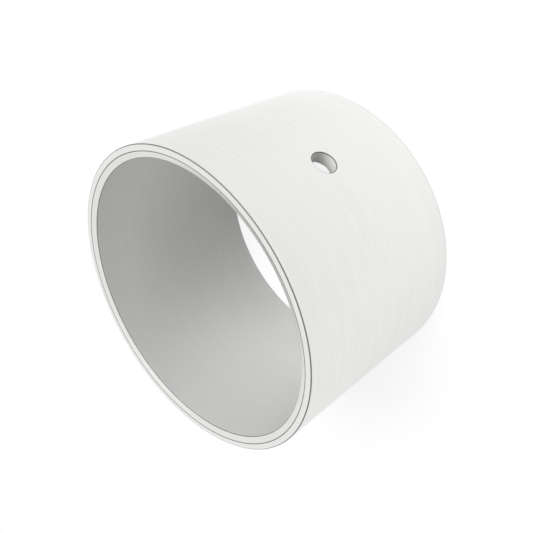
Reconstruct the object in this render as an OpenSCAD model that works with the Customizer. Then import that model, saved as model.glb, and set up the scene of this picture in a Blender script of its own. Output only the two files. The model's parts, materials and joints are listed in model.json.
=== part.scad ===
// Plain sleeve bushing, turned from one piece of steel.
// It is pressed into a round housing and carries a turning shaft in its bore.
// Both bore mouths have a shallow lead-in chamfer, and one oil hole is drilled
// square through the wall at mid length.
// The sleeve stands on its lower end face, with its axis on +Z and the oil hole
// facing +X. Sizes are in millimetres.

/* [Sleeve] */
// Diameter of the bore, the running surface for the shaft
bore_d = 55; // [20:0.5:120]
// Thickness of the wall between the bore and the outside
wall = 2.5; // [1.5:0.25:8]
// Length from one end face to the other
length = 40; // [15:1:120]

/* [Mouth chamfers] */
// Width of each mouth chamfer, measured across the end face
chamfer_width = 1.25; // [0.25:0.05:1.4]
// Depth of each mouth chamfer, measured down the bore
chamfer_depth = 0.5; // [0.2:0.1:3]

/* [Oil hole] */
// Diameter of the oil hole through the wall
oil_hole_d = 4.5; // [1.5:0.5:10]

/* [Hidden] */
$fn = 180;

bore_r = bore_d / 2;
outside_r = bore_r + wall;
chamfer_r = bore_r + chamfer_width;

// The drill starts on the axis and runs this far past the outside of the wall
drill_overrun = 2;

// Half of the sleeve's section, in the plane of the axis: the bore wall, the
// chamfer and the flat land at each end, and the plain outside
module wall_section() {
    polygon([
        [bore_r, chamfer_depth],
        [chamfer_r, 0],
        [outside_r, 0],
        [outside_r, length],
        [chamfer_r, length],
        [bore_r, length - chamfer_depth]
    ]);
}

// The sleeve as it comes off the lathe
module turned_sleeve() {
    rotate_extrude()
        wall_section();
}

// The path of the drill that opens the oil hole, on one side of the wall only
module oil_hole_drill() {
    translate([0, 0, length / 2])
        rotate([0, 90, 0])
            cylinder(d = oil_hole_d, h = outside_r + drill_overrun);
}

module bushing() {
    color("gainsboro")
        difference() {
            turned_sleeve();
            oil_hole_drill();
        }
}

bushing();
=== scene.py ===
# %% [markdown]
# # A plain bushing with an oil hole
#
# A plain bushing is a thin steel sleeve. It is pressed into a housing, a shaft turns in its bore, and
# oil reaches the shaft through a small hole in the wall. The real one is turned from one piece, so this
# scene has one piece too. All the work goes into its edges and into the finish that each cutting tool
# leaves behind.

# %% Load the frame
import json
import math

import bmesh
import bpy
from mathutils import Matrix, Vector


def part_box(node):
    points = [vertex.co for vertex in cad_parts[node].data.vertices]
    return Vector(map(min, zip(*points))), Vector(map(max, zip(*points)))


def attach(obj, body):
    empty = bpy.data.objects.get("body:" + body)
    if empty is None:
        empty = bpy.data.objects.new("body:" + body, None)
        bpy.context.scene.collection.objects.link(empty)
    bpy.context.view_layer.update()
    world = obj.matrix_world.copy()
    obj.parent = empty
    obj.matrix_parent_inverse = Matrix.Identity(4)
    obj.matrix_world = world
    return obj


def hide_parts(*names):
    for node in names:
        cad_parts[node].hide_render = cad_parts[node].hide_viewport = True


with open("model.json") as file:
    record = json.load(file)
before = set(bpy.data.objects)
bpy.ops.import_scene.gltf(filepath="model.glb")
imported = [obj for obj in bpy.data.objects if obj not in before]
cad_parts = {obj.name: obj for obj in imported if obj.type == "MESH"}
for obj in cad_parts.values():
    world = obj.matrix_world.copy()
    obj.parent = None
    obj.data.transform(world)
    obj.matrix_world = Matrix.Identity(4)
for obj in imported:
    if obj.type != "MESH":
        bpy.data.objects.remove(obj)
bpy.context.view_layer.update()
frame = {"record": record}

MM = 0.001
SAME_PLACE = 0.001 * MM  # points closer than this count as one

# %% [markdown]
# ## Sizes
#
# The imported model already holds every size, so none is typed again here. The box of the node gives the
# outside, and the mounts give the bore, the oil hole and the flat ring at the end. Reading them keeps
# the dressed sleeve on top of the solid one.

# %% Read the sizes
box_low, box_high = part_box("bushing")
mounts = {mount["name"]: mount for mount in frame["record"]["mounts"]}

LENGTH = box_high.z - box_low.z
OUTSIDE_R = mounts["outside"]["dims"]["r_mm"] * MM
BORE_R = mounts["bore"]["dims"]["r_mm"] * MM
CHAMFER_DEPTH = (LENGTH - mounts["bore"]["dims"]["length_mm"] * MM) / 2
# The upper face's mount lies half way across the flat ring, so the ring's inner edge is as far the other way
CHAMFER_R = 2 * mounts["upper_face"]["pos_m"][0] - OUTSIDE_R
HOLE_R = mounts["oil_hole"]["dims"]["r_mm"] * MM
HOLE_Z = mounts["oil_hole"]["pos_m"][2]

print("outside", OUTSIDE_R / MM, "bore", BORE_R / MM, "chamfer", CHAMFER_R / MM, CHAMFER_DEPTH / MM)

# %% [markdown]
# ## The camera
#
# The photograph looks down into the upper mouth, and the picture is turned so that the sleeve seems to
# lie on its side. Here the sleeve stands on its end, as it would on a bench, and it is the camera that
# leans over. A camera can be placed with three angles: round the part, above the floor, and a roll about
# its own line of sight. It stands close, which gives the strong narrowing towards the far end.

# %% Place the camera
CAMERA_AZIMUTH = -17.53  # degrees from +X towards +Y
CAMERA_ELEVATION = 37.83
CAMERA_ROLL = -119.68
CAMERA_DISTANCE = 127.7 * MM
CAMERA_AIM = Vector((0.7, -1.5, 20.0)) * MM
CAMERA_LENS = 43.29  # for Blender's sensor, 36 mm wide


def direction(azimuth, elevation):
    """A unit vector that points from the part towards these two angles."""
    a, e = math.radians(azimuth), math.radians(elevation)
    return Vector((math.cos(a) * math.cos(e), math.sin(a) * math.cos(e), math.sin(e)))


def aim(thing, place, target, roll=0.0):
    """Puts a lamp or camera at a place, facing the target and rolled about its own axis."""
    thing.location = place
    facing = (target - place).to_track_quat("-Z", "Y").to_matrix().to_4x4()
    thing.rotation_euler = (facing @ Matrix.Rotation(math.radians(roll), 4, "Z")).to_euler()
    bpy.context.scene.collection.objects.link(thing)


camera = bpy.data.objects.new("camera", bpy.data.cameras.new("camera"))
camera.data.lens = CAMERA_LENS
camera.data.clip_start = 5 * MM
aim(
    camera,
    CAMERA_AIM + CAMERA_DISTANCE * direction(CAMERA_AZIMUTH, CAMERA_ELEVATION),
    CAMERA_AIM,
    CAMERA_ROLL,
)
bpy.context.scene.camera = camera
print("camera at", [round(c / MM, 1) for c in camera.location], "mm")

# %% [markdown]
# ## Helpers for materials
#
# Hex colours are written for a screen, and Blender mixes light in linear values, so one function turns
# the first into the second. Another adds a node, sets it and links it in one go.

# %% Define the material helpers
def colour(hex_code):
    """Turns a screen colour such as "E4E4E2" into Blender's linear red, green, blue and alpha."""
    parts = [int(hex_code[i : i + 2], 16) / 255 for i in (0, 2, 4)]
    linear = [p / 12.92 if p <= 0.04045 else ((p + 0.055) / 1.055) ** 2.4 for p in parts]
    return (*linear, 1.0)


def add_node(tree, kind, settings=None, values=None, links=None):
    """Adds a node, with its settings, its unlinked inputs and the sockets that feed the others."""
    node = tree.nodes.new(kind)
    for name, value in (settings or {}).items():
        setattr(node, name, value)
    for name, value in (values or {}).items():
        node.inputs[name].default_value = value
    for name, socket in (links or {}).items():
        tree.links.new(socket, node.inputs[name])
    return node


def new_material(name):
    """An empty node material, with only its output."""
    material = bpy.data.materials.new(name)
    material.use_nodes = True
    material.node_tree.nodes.clear()
    output = material.node_tree.nodes.new("ShaderNodeOutputMaterial")
    return material, material.node_tree, output


# %% [markdown]
# ## Steel, cut by different tools
#
# The metal is the same all over, and only the tool differs. The outside is ground, the end faces and
# chamfers are faced on the lathe, and the bore is honed duller so that it holds oil. The greys of the bore,
# the chamfers, the oil hole and the rounded edges are painted darker as shade. Each tool leaves lines that
# run round the axis, with a little painted shade at the bottom of each. Such lines could be painted on a
# picture, but a noise pattern needs no picture and has no seam: squeezed along one direction, it is fine
# across the lines and long along them.
# The real lines are about 0.1 mm apart, which is finer than a pixel of this picture, so they are drawn
# about three times as coarse.

# %% Define the steel finishes
LINE_PITCH = 0.30 * MM
LINE_REACH = 24 * MM
# Painted shade: the colour at the bottom of each tool line is made this much darker than at its top
GROOVE_SHADE = 0.95  # how dark the bottom of a tool line is beside its top
NOISE_LOW, NOISE_HIGH = 0.3, 0.7  # nearly all of the noise lies between these
BUMP_STRENGTH = 0.6


def turned_steel(name, base, roughness, along="Z", depth=0.03 * MM, mottle=0.06, metallic=1.0):
    """Steel with fine lines round the axis. Along says which way the lines follow each other."""
    material, tree, output = new_material(name)
    place = add_node(tree, "ShaderNodeTexCoord").outputs["Object"]
    if along == "R":
        # On an end face the lines follow each other outwards, so the radius takes the place of the height
        flat = add_node(
            tree,
            "ShaderNodeVectorMath",
            {"operation": "MULTIPLY"},
            {1: (1, 1, 0)},
            {0: place},
        ).outputs[0]
        radius = add_node(tree, "ShaderNodeVectorMath", {"operation": "LENGTH"}, links={0: flat})
        outwards = add_node(tree, "ShaderNodeCombineXYZ", links={"Z": radius.outputs["Value"]})
        place = add_node(
            tree,
            "ShaderNodeVectorMath",
            {"operation": "ADD"},
            links={0: flat, 1: outwards.outputs[0]},
        ).outputs[0]
    squeezed = add_node(
        tree,
        "ShaderNodeMapping",
        values={"Scale": (1 / LINE_REACH, 1 / LINE_REACH, 1 / LINE_PITCH)},
        links={"Vector": place},
    )
    lines = add_node(
        tree,
        "ShaderNodeTexNoise",
        values={"Scale": 1.0, "Detail": 3.0, "Roughness": 0.6},
        links={"Vector": squeezed.outputs[0]},
    )
    grooves = add_node(
        tree,
        "ShaderNodeMapRange",
        values={"From Min": NOISE_LOW, "From Max": NOISE_HIGH},
        links={"Value": lines.outputs["Fac"]},
    )
    dull = add_node(
        tree,
        "ShaderNodeMapRange",
        values={"To Min": roughness + mottle, "To Max": roughness - mottle},
        links={"Value": grooves.outputs["Result"]},
    )
    # The bottom of each tool line is painted a little darker, as shade in the groove
    groove_painted_shade = tuple(c * GROOVE_SHADE for c in colour(base)[:3]) + (1.0,)
    tint_with_groove_shade = add_node(
        tree,
        "ShaderNodeMix",
        {"data_type": "RGBA"},
        {6: groove_painted_shade, 7: colour(base)},
        {0: grooves.outputs["Result"]},
    )
    bump = add_node(
        tree,
        "ShaderNodeBump",
        values={"Strength": BUMP_STRENGTH, "Distance": depth},
        links={"Height": lines.outputs["Fac"]},
    )
    shader = add_node(
        tree,
        "ShaderNodeBsdfPrincipled",
        values={"Metallic": metallic},
        links={
            "Base Color": tint_with_groove_shade.outputs[2],
            "Roughness": dull.outputs["Result"],
            "Normal": bump.outputs["Normal"],
        },
    )
    tree.links.new(shader.outputs[0], output.inputs["Surface"])
    return material


FINISHES = [
    # Ground bright all round: the palest surface, with soft highlights stretched along the axis
    turned_steel("steel_ground_outside", "E6E6E4", 0.34),
    # Honed and oiled, duller than the outside, and painted a darker grey as shade inside the bore. It is set
    # far less metallic than the bare steel outside, so that it shades smoothly from the dark side of the
    # bore to the lit side
    turned_steel("steel_honed_bore_painted_shade", "B8B8B7", 0.55, metallic=0.1),
    # Faced on the lathe: a thin bright ring, shinier than the outside
    turned_steel("steel_faced_ends", "E8E8E6", 0.22, along="R"),
    # The mouth chamfers: the same cut, tilted, and painted a little darker than the end faces as shade,
    # so they show as a second ring of another grey
    turned_steel("steel_turned_chamfers_painted_shade", "E2E2E0", 0.26),
    # The drilled wall of the oil hole: rough, and painted a soft darker grey as shade inside the hole, which
    # sets the hole off from the bright outside
    turned_steel("steel_drilled_hole_painted_shade", "C0C0BE", 0.60, metallic=0.2),
    # Edges rubbed over by the deburring tool: matt, and painted a dark grey as shade along each edge, so
    # each edge draws a thin grey line
    turned_steel("steel_deburred_edges_painted_shade", "606060", 0.55, depth=0.005 * MM, metallic=0.4),
]
OUTSIDE, BORE, END_FACES, CHAMFERS, OIL_HOLE, EDGES = range(6)
print("finishes", [material.name for material in FINISHES])

# %% [markdown]
# ## Turning the sleeve
#
# On a lathe, a tool follows the section while the work spins. The spin operator does the same: it sweeps
# a small closed outline round the axis. The outline is the cut wall, six corners in all. Its corners are
# rounded before the spin, because a real edge is never quite sharp, and the tiny round catches the light
# as a thin line. A few extra rows are put into the long sides, where the oil hole will need them.

# %% Spin the wall section
SPIN_STEPS = 288
EDGE_BREAK = 0.16 * MM  # how far the deburring tool takes off a sharp edge
MOUTH_BREAK = 0.09 * MM  # the same on the blunt edges of the mouth chamfers
EDGE_STEPS = 3
WINDOW_CELLS = 12  # cells across the square patch that the oil hole is cut in
WINDOW = WINDOW_CELLS * 2 * math.pi * OUTSIDE_R / SPIN_STEPS  # that patch's width and height


def wall_outline():
    """The section's corners and the rows between them, as radius and height, once round."""
    rows = [HOLE_Z - WINDOW / 2 + WINDOW * i / WINDOW_CELLS for i in range(WINDOW_CELLS + 1)]
    rows = [rows[0] / 3, rows[0] * 2 / 3] + rows
    rows += [LENGTH - rows[1], LENGTH - rows[0]]
    outside = [(OUTSIDE_R, z) for z in rows]
    bore = [(BORE_R, z) for z in reversed(rows)]
    low = [(BORE_R, CHAMFER_DEPTH), (CHAMFER_R, 0), (OUTSIDE_R, 0)]
    high = [(OUTSIDE_R, LENGTH), (CHAMFER_R, LENGTH), (BORE_R, LENGTH - CHAMFER_DEPTH)]
    return low, outside, high, bore


CORNERS = [
    (radius, z)
    for radius, depth in ((OUTSIDE_R, 0), (CHAMFER_R, 0), (BORE_R, CHAMFER_DEPTH))
    for z in (depth, LENGTH - depth)
]


def from_corner(place):
    """How far a point of the section lies from the nearest of the wall's six corners."""
    radius = math.hypot(place.x, place.y)
    return min(math.hypot(radius - corner_radius, place.z - z) for corner_radius, z in CORNERS)


def is_corner(place):
    """Whether a point of the section is one of the wall's six corners."""
    return from_corner(place) < SAME_PLACE


def spin_wall():
    """The sleeve without its oil hole."""
    bm = bmesh.new()
    low, outside, high, bore = wall_outline()
    outline = [bm.verts.new((radius, 0, z)) for radius, z in low + outside + high + bore]
    for here, after in zip(outline, outline[1:] + outline[:1]):
        bm.edges.new((here, after))
    for radius, offset in ((OUTSIDE_R, EDGE_BREAK), (CHAMFER_R, MOUTH_BREAK), (BORE_R, MOUTH_BREAK)):
        corners = [v for v in bm.verts if is_corner(v.co) and abs(v.co.x - radius) < SAME_PLACE]
        bmesh.ops.bevel(
            bm, geom=corners, offset=offset, affect="VERTICES", segments=EDGE_STEPS, profile=0.5, material=-1
        )
    bmesh.ops.spin(
        bm,
        geom=bm.verts[:] + bm.edges[:],
        cent=(0, 0, 0),
        axis=(0, 0, 1),
        angle=2 * math.pi,
        steps=SPIN_STEPS,
        use_merge=True,
    )
    bmesh.ops.remove_doubles(bm, verts=bm.verts[:], dist=SAME_PLACE)
    bmesh.ops.recalc_face_normals(bm, faces=bm.faces[:])
    return bm


sleeve = spin_wall()
print("spun wall:", len(sleeve.verts), "vertices,", len(sleeve.faces), "faces")

# %% [markdown]
# ## Drilling the oil hole
#
# A boolean would cut the hole, but it leaves slivers beside it that show on shiny metal. Instead a square
# patch is taken out of each wall, and a round rim with as many points is set into it. Bridging the patch
# to the rim gives a clean fan of faces, and bridging the two rims makes the wall of the hole. Each new
# point is pushed out to the wall's own radius, so the fan bends with the sleeve.

# %% Drill the oil hole
FAN_CUTS = 3  # rings of points between the square gap and the round rim
NEAR_WALL = 0.05 * MM  # faces this close to a wall's radius belong to that wall


def on_wall(vert, radius):
    """Moves a point straight along the drill's axis until it lies on the round wall."""
    vert.co.x = math.sqrt(radius**2 - vert.co.y**2)


def cut_patch(bm, radius):
    """Takes the square patch out of one wall and gives back the edges round the gap."""
    half_angle = WINDOW_CELLS / 2 * 2 * math.pi / SPIN_STEPS
    patch = set()
    for face in bm.faces:
        centre = face.calc_center_median()
        near_wall = abs(math.hypot(centre.x, centre.y) - radius) < NEAR_WALL
        in_turn = abs(math.atan2(centre.y, centre.x)) < half_angle
        in_height = abs(centre.z - HOLE_Z) < WINDOW / 2
        if near_wall and in_turn and in_height:
            patch.add(face)
    border = [edge for edge in bm.edges if sum(face in patch for face in edge.link_faces) == 1]
    bmesh.ops.delete(bm, geom=list(patch), context="FACES")
    return border


def round_rim(bm, radius, segments):
    """A ring of edges where the drill meets one wall."""
    turned = Matrix.Translation((radius, 0, HOLE_Z)) @ Matrix.Rotation(math.pi / 2, 4, "Y")
    turned = turned @ Matrix.Rotation(math.pi / 4, 4, "Z")
    ring = bmesh.ops.create_circle(bm, segments=segments, radius=HOLE_R, matrix=turned)["verts"]
    for vert in ring:
        on_wall(vert, radius)
    return list(dict.fromkeys(edge for vert in ring for edge in vert.link_edges))


def fan(bm, border, rim, radius):
    """Fills the space between the square gap and the round rim, bent to the wall."""
    made = bmesh.ops.bridge_loops(bm, edges=border + rim)
    rings = set(border + rim)
    spokes = [edge for edge in made["edges"] if edge not in rings]
    cut = bmesh.ops.subdivide_edges(bm, edges=spokes, cuts=FAN_CUTS, use_grid_fill=True)
    for part in cut["geom_inner"]:
        if isinstance(part, bmesh.types.BMVert):
            on_wall(part, radius)


def drill(bm):
    """Opens the oil hole through the wall, on the +X side only."""
    rims = []
    for radius in (OUTSIDE_R, BORE_R):
        border = cut_patch(bm, radius)
        rim = round_rim(bm, radius, len(border))
        fan(bm, border, rim, radius)
        rims.append(rim)
    bmesh.ops.bridge_loops(bm, edges=rims[0] + rims[1])
    bmesh.ops.recalc_face_normals(bm, faces=bm.faces[:])
    bmesh.ops.bevel(
        bm,
        geom=rims[0] + rims[1],
        offset=EDGE_BREAK,
        affect="EDGES",
        segments=EDGE_STEPS,
        profile=0.5,
        material=-1,
    )


drill(sleeve)
open_edges = [edge for edge in sleeve.edges if not edge.is_manifold]
print("drilled:", len(sleeve.faces), "faces,", len(open_edges), "open edges")

# %% [markdown]
# ## Which tool cut which face
#
# The finish of a face follows from where it lies: on the outside, in the bore, in the oil hole, or at an
# end. So the face's own centre and direction choose its material, and nothing is picked by hand.

# %% Give each face its finish
FLAT = 0.99  # a face whose normal leans this much along the axis is an end face
SLOPED = 0.1  # one that leans at least this much is a chamfer


def finish_of(face):
    """The number of the finish for one face."""
    centre = face.calc_center_median()
    radius = math.hypot(centre.x, centre.y)
    from_wall = min(abs(radius - OUTSIDE_R), abs(radius - BORE_R))
    from_drill = math.hypot(centre.y, centre.z - HOLE_Z)
    if centre.x > 0 and from_drill < HOLE_R + EDGE_BREAK:
        return EDGES if from_wall < EDGE_BREAK else OIL_HOLE
    if from_corner(centre) < EDGE_BREAK:
        return EDGES
    if abs(face.normal.z) > FLAT:
        return END_FACES
    if abs(face.normal.z) > SLOPED:
        return CHAMFERS
    return OUTSIDE if radius > CHAMFER_R else BORE


for face in sleeve.faces:
    face.material_index = finish_of(face)
    face.smooth = True

for number, material in enumerate(FINISHES):
    print(material.name, sum(face.material_index == number for face in sleeve.faces), "faces")

# %% [markdown]
# ## The finished piece
#
# The sleeve becomes one object at the origin. Weighted normals keep the broad faces flat and true and let
# only the narrow rounded edges turn, which is how a deburred edge looks. It rides on the part's one body
# and stands for the plain solid.

# %% Make the object
mesh = bpy.data.meshes.new("bushing_sleeve")
sleeve.to_mesh(mesh)
sleeve.free()
for material in FINISHES:
    mesh.materials.append(material)
bushing = bpy.data.objects.new("bushing_sleeve", mesh)
bpy.context.scene.collection.objects.link(bushing)
normals = bushing.modifiers.new("true faces", "WEIGHTED_NORMAL")
normals.mode = "FACE_AREA"
normals.weight = 100
normals.keep_sharp = True

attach(bushing, "root")
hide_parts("bushing")
print("piece", bushing.name, "with", len(mesh.polygons), "faces")

# %% [markdown]
# ## Floor and light
#
# The photograph's ground is plain white. The floor and the world show as white to the camera and in
# reflections, whatever the lamps do. Close to the part, the floor keeps a little of its lit colour, so that
# the sleeve has a soft shadow to stand on, and further out this fades to plain white.
#
# One broad lamp stands high and shines down into the bore. A weaker one stands low at the side, where its
# light only gets in under the rim, so the bore is lighter by the mouth than deep inside. That lamp is kept
# out of reflections, because its highlight would burn a white patch into the bright outside.

# %% Lay the floor
FLOOR_SIZE = 6.0
FLOOR_GLOW = 0.80  # the share of plain white in what the camera sees of the floor beside the part
SHADOW_REACH = 150 * MM  # by this far from the axis the shadow has faded and the floor is plain white


def seen_directly(tree):
    """1 for rays from the camera and for mirror and glass rays, 0 for the rest."""
    path = add_node(tree, "ShaderNodeLightPath").outputs
    either = add_node(
        tree,
        "ShaderNodeMath",
        {"operation": "MAXIMUM"},
        links={0: path["Is Camera Ray"], 1: path["Is Glossy Ray"]},
    )
    return add_node(
        tree,
        "ShaderNodeMath",
        {"operation": "MAXIMUM"},
        links={0: either.outputs[0], 1: path["Is Transmission Ray"]},
    ).outputs[0]


def floor_material():
    """White paper that mostly glows white to the camera and still takes a soft shadow."""
    material, tree, output = new_material("white_paper_floor")
    paper = add_node(tree, "ShaderNodeBsdfDiffuse", values={"Color": colour("F4F4F4")})
    white = add_node(tree, "ShaderNodeEmission", values={"Color": (1, 1, 1, 1), "Strength": 1.0})
    place = add_node(tree, "ShaderNodeTexCoord").outputs["Object"]
    distance = add_node(tree, "ShaderNodeVectorMath", {"operation": "LENGTH"}, links={0: place})
    glow = add_node(
        tree,
        "ShaderNodeMapRange",
        {"interpolation_type": "SMOOTHSTEP"},
        {"From Min": OUTSIDE_R, "From Max": SHADOW_REACH, "To Min": FLOOR_GLOW, "To Max": 1.0},
        {"Value": distance.outputs["Value"]},
    )
    share = add_node(
        tree,
        "ShaderNodeMath",
        {"operation": "MULTIPLY"},
        links={0: seen_directly(tree), 1: glow.outputs["Result"]},
    )
    mixed = add_node(
        tree,
        "ShaderNodeMixShader",
        links={0: share.outputs[0], 1: paper.outputs[0], 2: white.outputs[0]},
    )
    tree.links.new(mixed.outputs[0], output.inputs["Surface"])
    return material


floor_bm = bmesh.new()
bmesh.ops.create_grid(floor_bm, x_segments=1, y_segments=1, size=FLOOR_SIZE / 2)
floor_mesh = bpy.data.meshes.new("floor")
floor_bm.to_mesh(floor_mesh)
floor_bm.free()
floor_mesh.materials.append(floor_material())
floor = bpy.data.objects.new("floor", floor_mesh)
bpy.context.scene.collection.objects.link(floor)

# %% Set the world and the lamps
WORLD_FILL = 0.08
world = bpy.data.worlds.new("studio")
bpy.context.scene.world = world
world.use_nodes = True
tree = world.node_tree
tree.nodes.clear()
strength = add_node(
    tree,
    "ShaderNodeMapRange",
    values={"To Min": WORLD_FILL, "To Max": 1.0},
    links={"Value": seen_directly(tree)},
)
backdrop = add_node(
    tree, "ShaderNodeBackground", values={"Color": (1, 1, 1, 1)}, links={"Strength": strength.outputs[0]}
)
world_output = tree.nodes.new("ShaderNodeOutputWorld")
tree.links.new(backdrop.outputs[0], world_output.inputs["Surface"])

PART_MIDDLE = Vector((0, 0, LENGTH / 2))


def add_lamp(name, azimuth, elevation, distance, size, power):
    """A square soft lamp that faces the middle of the part."""
    lamp = bpy.data.objects.new(name, bpy.data.lights.new(name, "AREA"))
    lamp.data.size = size
    lamp.data.energy = power
    aim(lamp, PART_MIDDLE + distance * direction(azimuth, elevation), PART_MIDDLE)
    return lamp


add_lamp("key_lamp", azimuth=40, elevation=54, distance=0.45, size=0.42, power=4.0)
side_lamp = add_lamp("side_lamp", azimuth=-100, elevation=28, distance=0.50, size=0.30, power=1.6)
side_lamp.visible_glossy = False

bpy.context.scene.view_settings.view_transform = "Standard"
